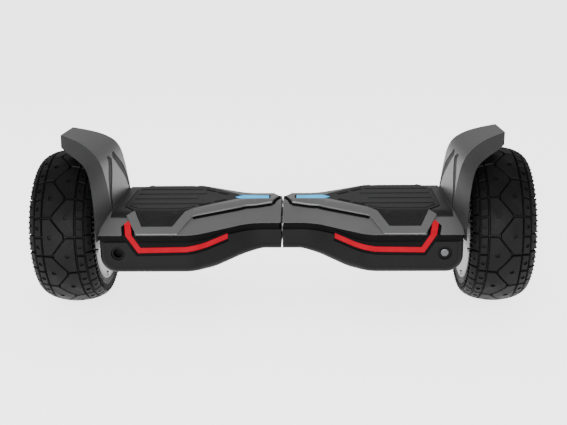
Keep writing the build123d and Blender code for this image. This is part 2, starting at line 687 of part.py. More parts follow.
def fitting_body(wall_lead):
    """A round fitting clamped in the recess, with a flange behind the front wall."""
    barrel = rod_y(PORT_D, PORT_Z, WALL_Y - wall_lead, WALL_Y + 10, RECESS_R - 0.6)
    return barrel + rod_y(PORT_D, PORT_Z, WALL_Y, WALL_Y + 2.5, RECESS_R + 2.5)


def make_charge_port():
    """A three-pin charging socket behind the recess: a guide for the plug, then the pins."""
    body = fitting_body(wall_lead=1.5)
    body = body - rod_y(PORT_D, PORT_Z, WALL_Y - 2, WALL_Y + 5, SOCKET_R)
    body = body - rod_y(PORT_D, PORT_Z, WALL_Y + 5, WALL_Y + 8, SOCKET_R + 0.6)
    for i in range(3):
        angle = math.radians(90 + 120 * i)
        d, z = PORT_D + 3 * math.cos(angle), PORT_Z + 3 * math.sin(angle)
        body = body + rod_y(d, z, WALL_Y + 5.5, WALL_Y + 9, 0.8)
    return body


def make_button_switch():
    """The power switch's collar and body behind the recess, with the guide for the cap."""
    return mirrored(fitting_body(wall_lead=1.0) - rod_y(PORT_D, PORT_Z, WALL_Y - 2, WALL_Y + 8, CAP_R + 0.3))


def make_power_button():
    cap = rod_y(PORT_D, PORT_Z, WALL_Y - 2.6, WALL_Y + 5.8, CAP_R)
    return mirrored(fillet(cap.edges().sort_by(Axis.Y)[0], 1.6))


def make_speaker():
    """The loudspeaker over the grille holes of the right bottom cover."""
    rim = rod_z(SPEAKER_D, 0, TRAY_TOP_Z, TRAY_TOP_Z + 3, 17)
    basket = rod_z(SPEAKER_D, 0, TRAY_TOP_Z + 3, TRAY_TOP_Z + 9, 13)
    magnet = rod_z(SPEAKER_D, 0, TRAY_TOP_Z + 9, TRAY_TOP_Z + 15, 10)
    return mirrored(rim + basket + magnet)


def make_link_cable():
    """The cable between the halves, through the hollow shaft."""
    return Pos(0, 0, AXLE_Z) * Rot(0, 90, 0) * Cylinder(3.5, 2 * WEB_D + 16)


# --- Writing the nodes ---
lower_inside = lower_body(WALL, BAND_Z) + (Pos(0, 0, BAND_Z) * extrude(belt_outline(7.7), BELT_Z - BAND_Z))

both_halves("top_cover", make_top_cover())
save("bottom_cover_left", make_bottom_cover("left"))
save("bottom_cover_right", mirrored(make_bottom_cover("right")))
both_halves("belt_trim", make_belt_trim())
both_halves("pad_frame", make_pad_frame())
both_halves("deck_trim", make_deck_trim())
both_halves("foot_pad", make_foot_pad())
both_halves("light_lenses", front_and_back(make_light_lens))
both_halves("light_bezels", front_and_back(make_light_bezel))
both_halves("indicator_lens", plan_prism(LENS_OUTLINE, TOP_Z - 4.0, TOP_Z + 2.2))
both_halves("fender", make_fender())
both_halves("fender_inlay", front_and_back(make_fender_inlay))

both_halves("tyre", make_tyre())
both_halves("rim", make_rim())
both_halves("motor_cover", make_motor_cover())
both_halves("motor_screws", make_motor_screws())
both_halves("magnets", make_magnets())
both_halves("stator_core", make_stator_core())
both_halves("windings", make_windings())
both_halves("axle", make_axle())
both_halves("bearing_outer_rings", make_bearing_rings(True))
both_halves("bearing_inner_rings", make_bearing_rings(False))

save("chassis_left", make_chassis("left"))
save("chassis_right", mirrored(make_chassis("right")))
both_halves("axle_clamp", make_axle_clamp())
both_halves("case_screws", make_case_screws())
save("pivot_shaft", make_pivot_shaft())
save("pivot_bushes", make_pivot_bushes())
save("pivot_retainers", make_pivot_retainers())

save("battery_pack", make_battery())
save("main_board", [mirrored(p) for p in make_main_board()])
both_halves("sensor_board", make_sensor_board())
save("charge_port", make_charge_port())
save("button_switch", make_button_switch())
save("power_button", make_power_button())
save("speaker", make_speaker())
save("link_cable", make_link_cable())
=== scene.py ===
import json
import math

import bmesh
import bpy
from mathutils import Matrix, Vector
from mathutils.bvhtree import BVHTree


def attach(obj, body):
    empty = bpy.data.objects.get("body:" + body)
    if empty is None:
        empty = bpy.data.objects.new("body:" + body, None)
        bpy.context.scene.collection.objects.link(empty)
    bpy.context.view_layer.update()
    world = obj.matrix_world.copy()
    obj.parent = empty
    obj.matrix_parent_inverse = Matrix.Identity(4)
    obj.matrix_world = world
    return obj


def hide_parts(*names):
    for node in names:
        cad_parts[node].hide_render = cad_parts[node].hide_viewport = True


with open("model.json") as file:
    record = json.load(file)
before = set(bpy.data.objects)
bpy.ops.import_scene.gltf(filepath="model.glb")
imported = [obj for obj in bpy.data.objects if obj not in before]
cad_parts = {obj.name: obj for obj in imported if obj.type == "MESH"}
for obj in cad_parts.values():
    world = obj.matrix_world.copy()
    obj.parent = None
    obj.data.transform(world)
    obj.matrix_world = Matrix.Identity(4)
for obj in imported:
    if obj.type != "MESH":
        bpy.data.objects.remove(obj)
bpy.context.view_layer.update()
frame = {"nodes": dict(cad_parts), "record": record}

# Off-road self balancing board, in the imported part's frame: x to the right, y to the back, z up.
# Sizes are in millimetres and go through MM, except on the stage, where they are in metres.
MM = 0.001
SIDES = (("left", -1), ("right", 1))
WELD = 0.01  # corners closer than this are joined

TYRE_R = 108.0
TYRE_HALF_WIDTH = 44.0
TYRE_CROWN = 20.0  # rise of the tread's middle over its edges
AXLE_Z = TYRE_R  # the wheels stand on the floor
WHEEL_X = 291.0


# --- Materials ---
NOISE_LOW, NOISE_HIGH = 0.3, 0.7  # most of a noise texture's values lie between these
GLOSS_SPREAD = 0.05  # how far the grain moves the roughness each way
WAVE_RADIANS = 20  # turn of a wave texture over one unit at scale 1


def node_material(name):
    """A new material with its nodes, its links and its main shader."""
    material = bpy.data.materials.new(name)
    material.use_nodes = True
    nodes, links = material.node_tree.nodes, material.node_tree.links
    return material, nodes, links, nodes["Principled BSDF"]


def noise(nodes, links, scale, detail, stretch=(1, 1, 1)):
    """A noise texture in object space, in metres, so that its grain has the same size on every piece."""
    coordinates = nodes.new("ShaderNodeTexCoord")
    mapping = nodes.new("ShaderNodeMapping")
    mapping.inputs["Scale"].default_value = stretch
    texture = nodes.new("ShaderNodeTexNoise")
    texture.inputs["Scale"].default_value = scale
    texture.inputs["Detail"].default_value = detail
    links.new(coordinates.outputs["Object"], mapping.inputs["Vector"])
    links.new(mapping.outputs["Vector"], texture.inputs["Vector"])
    return texture


def ranged(nodes, links, source, low, high):
    """Maps the middle of a noise's range onto low to high."""
    spread = nodes.new("ShaderNodeMapRange")
    spread.inputs["From Min"].default_value = NOISE_LOW
    spread.inputs["From Max"].default_value = NOISE_HIGH
    spread.inputs["To Min"].default_value = low
    spread.inputs["To Max"].default_value = high
    links.new(source, spread.inputs["Value"])
    return spread.outputs["Result"]


def surface(
    name,
    colour,
    roughness,
    metallic=0.0,
    coat=0.0,
    variation=0.12,
    grain_scale=900,
    grain_depth=0.02,
    patch_scale=9,
    stretch=(1, 1, 1),
    specular=0.5,
):
    """A moulded, painted or cast surface: broad colour patches, uneven gloss and a fine grain."""
    material, nodes, links, shader = node_material(name)
    patches = noise(nodes, links, patch_scale, 4)
    grain = noise(nodes, links, grain_scale, 3, stretch)
    shades = nodes.new("ShaderNodeValToRGB")
    dark, light = shades.color_ramp.elements
    for element, place, factor in ((dark, NOISE_LOW, 1 - variation), (light, NOISE_HIGH, 1 + variation)):
        element.position = place
        element.color = (*(min(1.0, c * factor) for c in colour), 1)
    links.new(patches.outputs["Fac"], shades.inputs["Fac"])
    links.new(shades.outputs["Color"], shader.inputs["Base Color"])
    gloss = ranged(nodes, links, grain.outputs["Fac"], roughness - GLOSS_SPREAD, roughness + GLOSS_SPREAD)
    links.new(gloss, shader.inputs["Roughness"])
    bump = nodes.new("ShaderNodeBump")
    bump.inputs["Strength"].default_value = 0.35
    bump.inputs["Distance"].default_value = grain_depth * MM
    links.new(grain.outputs["Fac"], bump.inputs["Height"])
    links.new(bump.outputs["Normal"], shader.inputs["Normal"])
    shader.inputs["Metallic"].default_value = metallic
    shader.inputs["Coat Weight"].default_value = coat
    shader.inputs["Coat Roughness"].default_value = 0.25
    shader.inputs["Specular IOR Level"].default_value = specular
    return material


def grey_shell(name, colour, roughness):
    """Satin metallic paint on a moulded shell."""
    return surface(name, colour, roughness, metallic=0.45, variation=0.06, grain_scale=1500, specular=0.15)


def black_plastic(name, tone, roughness, grain_depth=0.04, specular=0.22):
    """Textured black plastic, slightly blue."""
    colour = (tone, tone, tone * 1.07)
    return surface(name, colour, roughness, grain_scale=1100, grain_depth=grain_depth, specular=specular)


def lamp_lens(name, glow, tint, strength):
    """A lit translucent lens: brighter and dimmer stretches show the row of diodes behind it."""
    material, nodes, links, shader = node_material(name)
    diodes = noise(nodes, links, 60, 1)
    shader.inputs["Base Color"].default_value = (*tint, 1)
    shader.inputs["Roughness"].default_value = 0.22
    shader.inputs["Specular IOR Level"].default_value = 0.02
    shader.inputs["Emission Color"].default_value = (*glow, 1)
    level = ranged(nodes, links, diodes.outputs["Fac"], strength * 0.85, strength)
    links.new(level, shader.inputs["Emission Strength"])
    return material


def ribbed_rubber(name, colour, rib_pitch_mm):
    """Moulded rubber with fine anti-slip lines and a dusty uneven sheen."""
    material = surface(name, colour, 0.62, variation=0.16, grain_scale=700, grain_depth=0.05, specular=0.15)
    nodes, links = material.node_tree.nodes, material.node_tree.links
    coordinates = nodes.new("ShaderNodeTexCoord")
    lines = nodes.new("ShaderNodeTexWave")
    lines.bands_direction = "Y"
    lines.inputs["Scale"].default_value = 2 * math.pi / WAVE_RADIANS / (rib_pitch_mm * MM)
    line_bump = nodes.new("ShaderNodeBump")
    line_bump.inputs["Strength"].default_value = 0.3
    line_bump.inputs["Distance"].default_value = 0.12 * MM
    links.new(coordinates.outputs["Object"], lines.inputs["Vector"])
    links.new(lines.outputs["Fac"], line_bump.inputs["Height"])
    links.new(nodes["Bump"].outputs["Normal"], line_bump.inputs["Normal"])
    links.new(line_bump.outputs["Normal"], nodes["Principled BSDF"].inputs["Normal"])
    return material


GREY = (0.1, 0.1, 0.101)
FENDER_GREY = (0.032, 0.032, 0.0325)
materials = {
    "deck_shell": grey_shell("deck_shell", GREY, 0.38),
    "pad_frame": grey_shell("pad_frame", GREY, 0.36),
    "fender_shell": grey_shell("fender_shell", FENDER_GREY, 0.44),
    "lower_shell": black_plastic("lower_shell", 0.0022, 0.45, grain_depth=0.08, specular=0.07),
    # belt_trim is the darkest, least shiny black. It is a trim band that also carries painted shade for the
    # shadowed gap between the upper and lower shells. The frame's groove strips and the pad's slot slabs also
    # use it as painted shade.
    "belt_trim": black_plastic("belt_trim", 0.0015, 0.6, specular=0.03),
    "deck_trim": black_plastic("deck_trim", 0.005, 0.5, grain_depth=0.08, specular=0.14),
    # fender_inlay's near-black, darker than the fender, is partly painted shade of the shallow groove the inlay
    # lies in
    "fender_inlay": black_plastic("fender_inlay", 0.006, 0.6, specular=0.06),
    "light_bezel": black_plastic("light_bezel", 0.0015, 0.45, specular=0.03),
    "port_plastic": black_plastic("port_plastic", 0.0018, 0.42, specular=0.05),
    "speaker_black": black_plastic("speaker_black", 0.01, 0.6),
    "cable_black": black_plastic("cable_black", 0.008, 0.5),
    "pad_rubber": ribbed_rubber("pad_rubber", (0.0065, 0.0065, 0.007), 2.4),
    "tyre": surface(
        "tyre", (0.0026, 0.0026, 0.0028), 0.55,
        variation=0.3, patch_scale=30, grain_scale=500, grain_depth=0.12, specular=0.07,
    ),
    "rim": surface(
        "rim", (0.035, 0.035, 0.036), 0.4, metallic=1.0, variation=0.06, grain_scale=700, grain_depth=0.04
    ),
    "motor_cover": surface(
        "motor_cover", (0.15, 0.15, 0.153), 0.45, metallic=1.0, variation=0.05, grain_scale=600
    ),
    "screws": surface("screws", (0.4, 0.4, 0.41), 0.3, metallic=1.0, grain_scale=900),
    "magnets": surface("magnets", (0.5, 0.5, 0.51), 0.2, metallic=1.0),
    "lamination": surface("lamination", (0.3, 0.3, 0.31), 0.42, metallic=1.0, stretch=(8, 1, 1)),
    "copper": surface("copper", (0.72, 0.33, 0.14), 0.32, metallic=1.0, stretch=(1, 6, 6), grain_depth=0.2),
    "axle_steel": surface("axle_steel", (0.45, 0.45, 0.46), 0.28, metallic=1.0, stretch=(6, 1, 1)),
    "bearing_steel": surface("bearing_steel", (0.55, 0.55, 0.57), 0.18, metallic=1.0),
    "chassis_metal": surface(
        "chassis_metal", (0.42, 0.42, 0.43), 0.48, metallic=0.9, grain_scale=400, grain_depth=0.1
    ),
    "clamp_steel": surface("clamp_steel", (0.35, 0.35, 0.36), 0.4, metallic=1.0),
    "black_screws": surface("black_screws", (0.03, 0.03, 0.032), 0.35, metallic=0.9),
    "circuit_board": surface(
        "circuit_board", (0.02, 0.13, 0.06), 0.35, coat=0.4, variation=0.2, patch_scale=80
    ),
    "bush_bronze": surface("bush_bronze", (0.5, 0.33, 0.15), 0.45, metallic=1.0),
    "battery_wrap": surface(
        "battery_wrap", (0.03, 0.1, 0.35), 0.3, coat=0.3, grain_scale=200, grain_depth=0.3
    ),
    "button_metal": surface("button_metal", (0.06, 0.06, 0.062), 0.3, metallic=1.0, grain_scale=1500),
    "red_light": lamp_lens("red_light", (1.0, 0.0, 0.03), (0.01, 0.0, 0.0005), 0.8),
    "blue_light": lamp_lens("blue_light", (0.02, 0.5, 1.0), (0.003, 0.03, 0.05), 1.5),
}


# --- Building pieces ---
SHARPEST_MITRE = 0.4  # keeps the mitre of a very sharp corner short
ABOVE_ALL_Z = 400.0  # rays start here and go down
DECK_Z = 145.0  # height used where a ray misses the node
DRAPE_STEP = 6.0  # longest side of an outline that follows a surface
SUNK = 0.4  # pieces that lie on a surface reach this far below it


def finish_mesh(name, bm, slot, body, sharp_deg=32):
    """Turns a bmesh in millimetres into a piece that rides on a body and takes a slot's finish."""
    bmesh.ops.remove_doubles(bm, verts=bm.verts, dist=WELD)
    bmesh.ops.recalc_face_normals(bm, faces=bm.faces)
    bmesh.ops.scale(bm, vec=(MM, MM, MM), verts=bm.verts)
    mesh = bpy.data.meshes.new(name)
    bm.to_mesh(mesh)
    bm.free()
    mesh.shade_smooth()
    mesh.set_sharp_from_angle(angle=math.radians(sharp_deg))
    mesh.materials.append(materials[slot])
    piece = bpy.data.objects.new(name, mesh)
    bpy.context.scene.collection.objects.link(piece)
    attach(piece, body)
    return piece


def add_rings(bm, rings, close_ends=True):
    """Skins rings of points that all have the same count, and caps the ends where asked."""
    rows = [[bm.verts.new(p) for p in ring] for ring in rings]
    count = len(rows[0])
    for low, high in zip(rows, rows[1:]):
        for i in range(count):
            j = (i + 1) % count
            bm.faces.new((low[i], low[j], high[j], high[i]))
    if close_ends:
        bm.faces.new(rows[0][::-1])
        bm.faces.new(rows[-1])


def mirror_to_side(bm, sign):
    """Turns a piece made for the right side into one for its own side."""
    bmesh.ops.transform(bm, matrix=Matrix.Diagonal((sign, 1, 1, 1)), verts=bm.verts)


def sides(points):
    """The sides of a closed outline, as pairs of neighbouring corners."""
    return zip(points, points[1:] + points[:1])


def inset_outline(points, distance):
    """Moves each side of a closed outline inwards, with mitred corners."""
    area = sum(a[0] * b[1] - b[0] * a[1] for a, b in sides(points))
    turn = 1 if area > 0 else -1
    moved = []
    for before, here, after in zip(points[-1:] + points[:-1], points, points[1:] + points[:1]):
        normals = []
        for a, b in ((before, here), (here, after)):
            run = (Vector(b) - Vector(a)).normalized()
            normals.append(Vector((-run.y, run.x)) * turn)
        total = normals[0] + normals[1]
        reach = 2 * distance / max(total.length_squared, SHARPEST_MITRE)
        moved.append(tuple(Vector(here) + total * reach))
    return moved


def side_parts(points, step):
    """How many equal parts, none longer than a step, each side of a closed outline is cut into."""
    return [max(1, math.ceil((Vector(b) - Vector(a)).length / step)) for a, b in sides(points)]


def cut_sides(points, parts):
    """Adds points along a closed outline that cut each side into its number of equal parts."""
    result = []
    for (a, b), count in zip(sides(points), parts):
        result += [tuple(Vector(a).lerp(Vector(b), i / count)) for i in range(count)]
    return result


def divided(points, step):
    """Adds points along the sides of a closed outline, so that it can follow a curved surface."""
    return cut_sides(points, side_parts(points, step))


def clipped(points, axis, limit, keep_above):
    """The part of an outline on one side of a line across axis 0 or 1."""
    kept = []
    for a, b in sides(points):
        a_in = (a[axis] >= limit) == keep_above
        b_in = (b[axis] >= limit) == keep_above
        if a_in:
            kept.append(a)
        if a_in != b_in:
            share = (limit - a[axis]) / (b[axis] - a[axis])
            kept.append(tuple(Vector(a).lerp(Vector(b), share)))
    return kept


def surface_under(node):
    """A function that gives the height of a CAD node's top at x, y, in millimetres."""
    mesh = frame["nodes"][node].data
    corners = [vertex.co / MM for vertex in mesh.vertices]
    tree = BVHTree.FromPolygons(corners, [tuple(polygon.vertices) for polygon in mesh.polygons])

    def height(x, y):
        hit = tree.ray_cast(Vector((x, y, ABOVE_ALL_Z)), Vector((0, 0, -1)))[0]
        return hit.z if hit else DECK_Z

    return height


def draped(levels, height):
    """Rings over a surface, from pairs of an outline and its lift off that surface."""
    return [[(x, y, height(x, y) + lift) for x, y in ring] for ring, lift in levels]


def add_slab(bm, outline, height, thickness, chamfer):
    """A low moulded block that follows the surface below it, with a chamfer round its top."""
    outline = divided(outline, DRAPE_STEP)
    top = inset_outline(outline, chamfer)
    levels = ((outline, -SUNK), (outline, thickness - chamfer), (top, thickness))
    add_rings(bm, draped(levels, height))


def add_border(bm, outer, inner, height, thickness, chamfer):
    """A raised border between two outlines with the same number of corners."""
    parts = side_parts(outer, DRAPE_STEP)
    outer, inner = cut_sides(outer, parts), cut_sides(inner, parts)
    levels = (
        (outer, -SUNK),
        (outer, thickness - chamfer),
        (inset_outline(outer, chamfer), thickness),
        (inset_outline(inner, -chamfer), thickness),
        (inner, thickness - chamfer),
        (inner, -SUNK),
        (outer, -SUNK),
    )
    add_rings(bm, draped(levels, height), close_ends=False)


# --- Finish and edges of the CAD nodes ---
EDGE_ROUNDS = {"top_cover": 0.8, "pad_frame": 0.6, "deck_trim": 0.5, "foot_pad": 0.7}  # mm
HARD_EDGE = 28.0  # degrees; edges sharper than this are rounded
CREASES = {"fender": 11.0, "bottom_cover": 25.0}  # degrees; edges sharper than this stay crisp


def make_fresh_shading():
    """The node tree of a modifier that drops stored normals and sharp marks; the mesh itself stays as it is."""
    tree = bpy.data.node_groups.new("fresh_shading", "GeometryNodeTree")
    tree.is_modifier = True
    for way in ("INPUT", "OUTPUT"):
        tree.interface.new_socket("Geometry", in_out=way, socket_type="NodeSocketGeometry")
    last = tree.nodes.new("NodeGroupInput").outputs[0]
    for attribute in ("custom_normal", "sharp_edge", "sharp_face"):
        drop = tree.nodes.new("GeometryNodeRemoveAttribute")
        drop.inputs["Name"].default_value = attribute
        tree.links.new(last, drop.inputs["Geometry"])
        last = drop.outputs["Geometry"]
    tree.links.new(last, tree.nodes.new("NodeGroupOutput").inputs[0])
    return tree


fresh_shading = make_fresh_shading()


def weld_node(node):
    """Joins the CAD faces' separate corners, without their stored normals."""
    node.modifiers.new("fresh_shading", "NODES").node_group = fresh_shading
    weld = node.modifiers.new("weld", "WELD")
    weld.merge_threshold = WELD * MM


def even_normals(node):
    """Shading that follows the wide faces, so that flat areas look flat up to their edges."""
    even = node.modifiers.new("even_normals", "WEIGHTED_NORMAL")
    even.weight = 80
    even.keep_sharp = True


def round_edges(node, width_mm):
    """Small rounds on a CAD node's hard edges, as a mould or a casting has."""
    weld_node(node)
    bevel = node.modifiers.new("edge_round", "BEVEL")
    bevel.width = width_mm * MM
    bevel.segments = 2
    bevel.limit_method = "ANGLE"
    bevel.angle_limit = math.radians(HARD_EDGE)
    bevel.use_clamp_overlap = False
    even_normals(node)


def keep_creases(node, angle_deg):
    """Smooth shading over gentle steps, with each sharper crease left crisp."""
    weld_node(node)
    crease = node.modifiers.new("crease", "EDGE_SPLIT")
    crease.split_angle = math.radians(angle_deg)
    even_normals(node)


slot_of = {part["node"]: part["material_slot"] for part in frame["record"]["subparts"]}
for name, node in frame["nodes"].items():
    for material_slot in node.material_slots:
        material_slot.material = materials[slot_of[name]]
    family = name.rsplit("_", 1)[0]
    if family in EDGE_ROUNDS:
        round_edges(node, EDGE_ROUNDS[family])
    elif family in CREASES:
        keep_creases(node, CREASES[family])


# --- Tyres ---
TREAD_DEPTH = 3.4
TREAD_REPEATS = 13
TREAD_PITCH = 2 * math.pi * TYRE_R / TREAD_REPEATS
GROOVE = 1.5  # half the width of a groove between the pointed blocks
LUG_GROOVE = 0.8 * GROOVE  # half the width of a groove between the shoulder lugs

LUG_STEP = 4.0  # longest side of a block's outline
LUG_FOOT = 0.5  # a block's foot spreads by this and reaches this far into the carcass
LUG_CHAMFER_WIDTH = 0.8
LUG_CHAMFER_DEPTH = 0.9
PIT_DEPTH = 1.8

POINTED_EDGE = 21.0  # outer side of the pointed blocks, from the middle of the tread
POINTED_REACH = 8.5  # their points reach this far across the middle
POINTED_TIP = 3.0  # half the width of a point
POINTED_PIT = 3.2  # radius of the moulded pit
# Rows of shoulder lugs: near and far side from the middle of the tread, shift and skew along it, pit radius.
SHOULDER_ROWS = ((23.0, 32.0, 0.0, 1.5, 3.0), (34.0, 42.0, 3.0, 0.0, 1.8))

CARCASS_STEPS = 160
CROWN_STEPS = 12
# From the edge of the crown to the bead: distance from the middle of the tyre, and radius.
SIDE_WALL = [(41.6, 87.0), (42.0, 85.6), (42.0, 84.6), (41.4, 83.6), (41.3, 81.0), (42.1, 80.2), (41.9, 78.6)]
BEAD = [(40.9, 76.6), (39.0, 76.0), (37.5, 76.0), (37.5, 71.0)]
SHOULDER_RIBS = 80
# Corners of a rib under the outer lugs: radius, width along the tyre and distance from its middle.
RIB_CORNERS = ((84.5, 2.4, 41.2), (84.5, 2.0, 42.9), (91.5, 2.0, 43.4), (91.5, 2.4, 41.0))


def crown_point(turn, across, height):
    """A point at an angle round the axle, a distance across the tread and a height off its crown."""
    slope = math.asin(max(-1.0, min(1.0, across / TYRE_HALF_WIDTH)))
    normal = Vector((TYRE_CROWN * math.sin(slope), TYRE_HALF_WIDTH * math.cos(slope))).normalized()
    offset = TYRE_HALF_WIDTH * math.sin(slope) + normal.x * height
    radius = TYRE_R - TYRE_CROWN + TYRE_CROWN * math.cos(slope) + normal.y * height
    return offset, radius * math.sin(turn), AXLE_Z + radius * math.cos(turn)


def add_lug(bm, outline, start_turn, pit):
    """One tread block on an outline of (along, across) points, with a chamfered top and a moulded pit."""
    outline = divided(outline, LUG_STEP)
    middle = sum((Vector(p) for p in outline), Vector((0, 0))) / len(outline)
    pit_ring = [tuple(middle + (Vector(p) - middle).normalized() * pit) for p in outline]
    levels = (
        (inset_outline(outline, -LUG_FOOT), -TREAD_DEPTH - LUG_FOOT),
        (outline, -LUG_CHAMFER_DEPTH),
        (inset_outline(outline, LUG_CHAMFER_WIDTH), 0.0),
        (pit_ring, 0.0),
        (pit_ring, -PIT_DEPTH),
    )
    rings = [
        [crown_point(start_turn + along / TYRE_R, across, height) for along, across in ring]
        for ring, height in levels
    ]
    add_rings(bm, rings)


def shoulder_lug(start, length, side, near, far, skew):
    """A four-sided lug between two distances from the middle of the tread."""
    first, last = start + LUG_GROOVE, start + length - LUG_GROOVE
    return [(first, side * near), (last, side * near), (last - skew, side * far), (first - skew, side * far)]


def tread_outlines():
    """The blocks of one repeat: two pointed ones that interlock in a zigzag, and rows of shoulder lugs."""
    half = TREAD_PITCH / 2
    blocks = []
    for side, shift in ((-1, 0.0), (1, half)):
        first, middle, last = shift + GROOVE, shift + half, shift + 2 * half - GROOVE
        pointed = [
            (first, side * POINTED_EDGE),
            (last, side * POINTED_EDGE),
            (last, side * (POINTED_REACH + GROOVE)),
            (middle + POINTED_TIP, -side * (POINTED_REACH - GROOVE)),
            (middle - POINTED_TIP, -side * (POINTED_REACH - GROOVE)),
            (first, side * (POINTED_REACH + GROOVE)),
        ]
        blocks.append((pointed, POINTED_PIT))
        for i in (0, 1):
            for near, far, ahead, skew, pit in SHOULDER_ROWS:
                start = shift + i * half + ahead
                blocks.append((shoulder_lug(start, half, side, near, far, skew), pit))
    return blocks


def carcass_profile():
    """Half of the tyre's section as (across, radius) points, from the middle of the tread to the bead."""
    width, rise = TYRE_HALF_WIDTH - TREAD_DEPTH, TYRE_CROWN - TREAD_DEPTH
    slopes = [math.radians(90 / CROWN_STEPS * i) for i in range(CROWN_STEPS + 1)]
    crown = [(width * math.sin(slope), TYRE_R - TYRE_CROWN + rise * math.cos(slope)) for slope in slopes]
    return crown + SIDE_WALL + BEAD


def add_shoulder_rib(bm, turn, hand):
    """A short rib on one side wall, at an angle round the axle."""
    corners = []
    for radius, width, out in RIB_CORNERS:
        ends = [turn + end * width / radius / 2 for end in (-1, 1)]
        corners.append(
            [bm.verts.new((hand * out, radius * math.sin(t), AXLE_Z + radius * math.cos(t))) for t in ends]
        )
    for a, b in sides(corners):
        bm.faces.new((a[0], a[1], b[1], b[0]))
    bm.faces.new([pair[0] for pair in corners])
    bm.faces.new([pair[1] for pair in corners][::-1])


def make_tyre(side, sign):
    """The carcass with its tread blocks and side ribs; it stands in for the plain CAD tyre."""
    bm = bmesh.new()
    half = carcass_profile()
    section = [(-across, radius) for across, radius in reversed(half)] + half[1:]
    rings = []
    for i in range(CARCASS_STEPS):
        turn = 2 * math.pi * i / CARCASS_STEPS
        rings.append([(a, r * math.sin(turn), AXLE_Z + r * math.cos(turn)) for a, r in section])
    add_rings(bm, rings + rings[:1], close_ends=False)
    for i in range(TREAD_REPEATS):
        for outline, pit in tread_outlines():
            add_lug(bm, outline, 2 * math.pi * i / TREAD_REPEATS, pit)
    for i in range(SHOULDER_RIBS):
        for hand in (-1, 1):
            add_shoulder_rib(bm, 2 * math.pi * i / SHOULDER_RIBS, hand)
    mirror_to_side(bm, sign)
    bmesh.ops.translate(bm, vec=(sign * WHEEL_X, 0, 0), verts=bm.verts)
    tyre = finish_mesh(f"treaded_tyre_{side}", bm, "tyre", f"{side}_wheel", sharp_deg=38)
    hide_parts(f"tyre_{side}")


# --- Rim faces ---
RIM_FACE = WHEEL_X + 41.0  # outer edge of the rim, from the middle of the board
SPOKES = 6
SPOKE_OUTLINE = [(25.0, 4.2), (47.0, 3.4), (61.5, 9.5)]  # radius and half width, from the hub outwards
# Depths from the rim's outer edge: a spoke's foot, the lower and upper side of its chamfer, and its slot.
SPOKE_FOOT, SPOKE_SIDE, SPOKE_TOP, SPOKE_SLOT = -9.0, -3.4, -2.4, -3.2
SPOKE_CHAMFER = 1.1
SPOKE_SLOT_INSET = 2.6
# Closed sections turned round the axle: depth from the rim's outer edge, and radius.
HUB_RING = ((-4.5, 12.0), (-3.0, 12.0), (-2.4, 15.0), (-2.4, 21.0), (-3.2, 23.5), (-4.5, 23.5))
RIM_LIP = ((-0.8, 66.2), (0.6, 67.0), (1.2, 69.0), (1.2, 72.0), (0.4, 74.2), (-0.8, 74.8))
HUB_STEPS, LIP_STEPS = 72, 120


def add_turned_ring(bm, section, steps):
    """A ring turned round the axle from a closed section."""
    turns = [2 * math.pi * i / steps for i in range(steps)]
    circles = [
        [(RIM_FACE + depth, radius * math.sin(turn), AXLE_Z + radius * math.cos(turn)) for turn in turns]
        for depth, radius in section
    ]
    add_rings(bm, [*circles, circles[0]], close_ends=False)


def add_spoke(bm, turn):
    """A spoke that stands off the dished face, with a chamfer round its top and a slot down its middle."""
    outline = [(r, -w) for r, w in SPOKE_OUTLINE] + [(r, w) for r, w in reversed(SPOKE_OUTLINE)]
    levels = (
        (outline, SPOKE_FOOT),
        (outline, SPOKE_SIDE),
        (inset_outline(outline, SPOKE_CHAMFER), SPOKE_TOP),
        (inset_outline(outline, SPOKE_SLOT_INSET), SPOKE_SLOT),
    )
    along, aside = Vector((math.sin(turn), math.cos(turn))), Vector((math.cos(turn), -math.sin(turn)))
    rings = []
    for ring, depth in levels:
        places = [along * r + aside * w for r, w in ring]
        rings.append([(RIM_FACE + depth, place.x, AXLE_Z + place.y) for place in places])
    add_rings(bm, rings)


def make_rim_face(side, sign):
    """Spokes, a stepped hub ring and a rounded lip on the rim's outer face, in bare machined metal."""
    bm = bmesh.new()
    for i in range(SPOKES):
        add_spoke(bm, 2 * math.pi * (i + 0.5) / SPOKES)
    add_turned_ring(bm, HUB_RING, HUB_STEPS)
    add_turned_ring(bm, RIM_LIP, LIP_STEPS)
    mirror_to_side(bm, sign)
    finish_mesh(f"rim_spokes_{side}", bm, "motor_cover", f"{side}_wheel")


# --- Foot pads ---
# Places are (distance from the middle of the board, y).
PAD_FLAT = [
    (213.0, -47.0), (195.0, -67.0), (129.0, -67.0), (62.0, -12.5),
    (62.0, 12.5), (129.0, 67.0), (195.0, 67.0), (213.0, 47.0),
]
BAND_MARGIN = 5.0  # bare edge of the pad round the bands
BAND_PITCH = 27.0
BAND_HALF_WIDTH = 10.5
BAND_ENDS = (118.0, 108.0, 116.0)  # inner ends of the middle band and of the two on each side of it
BAND_HEIGHT, BAND_CHAMFER = 0.7, 1.6

FLAP_PANEL = [(183.0, -78.0), (174.0, -96.0), (148.5, -96.0), (139.5, -78.0)]
FLAP_FRAME_OUT, FLAP_FRAME_IN = 1.6, 0.4  # how far the panel's frame reaches out and in from its outline
FLAP_FRAME_HEIGHT, FLAP_FRAME_CHAMFER = 0.6, 0.4
FLAP_RIBS = 4
FLAP_RIB_PITCH = 3.6
FLAP_RIB_WIDTH = 0.55 * FLAP_RIB_PITCH
FLAP_RIB_MARGIN = 1.6  # from the panel's outline to the ends of the ribs
FLAP_FIRST_RIB = 0.4  # from that margin to the first rib
FLAP_RIB_HEIGHT, FLAP_RIB_CHAMFER = 0.5, 0.35

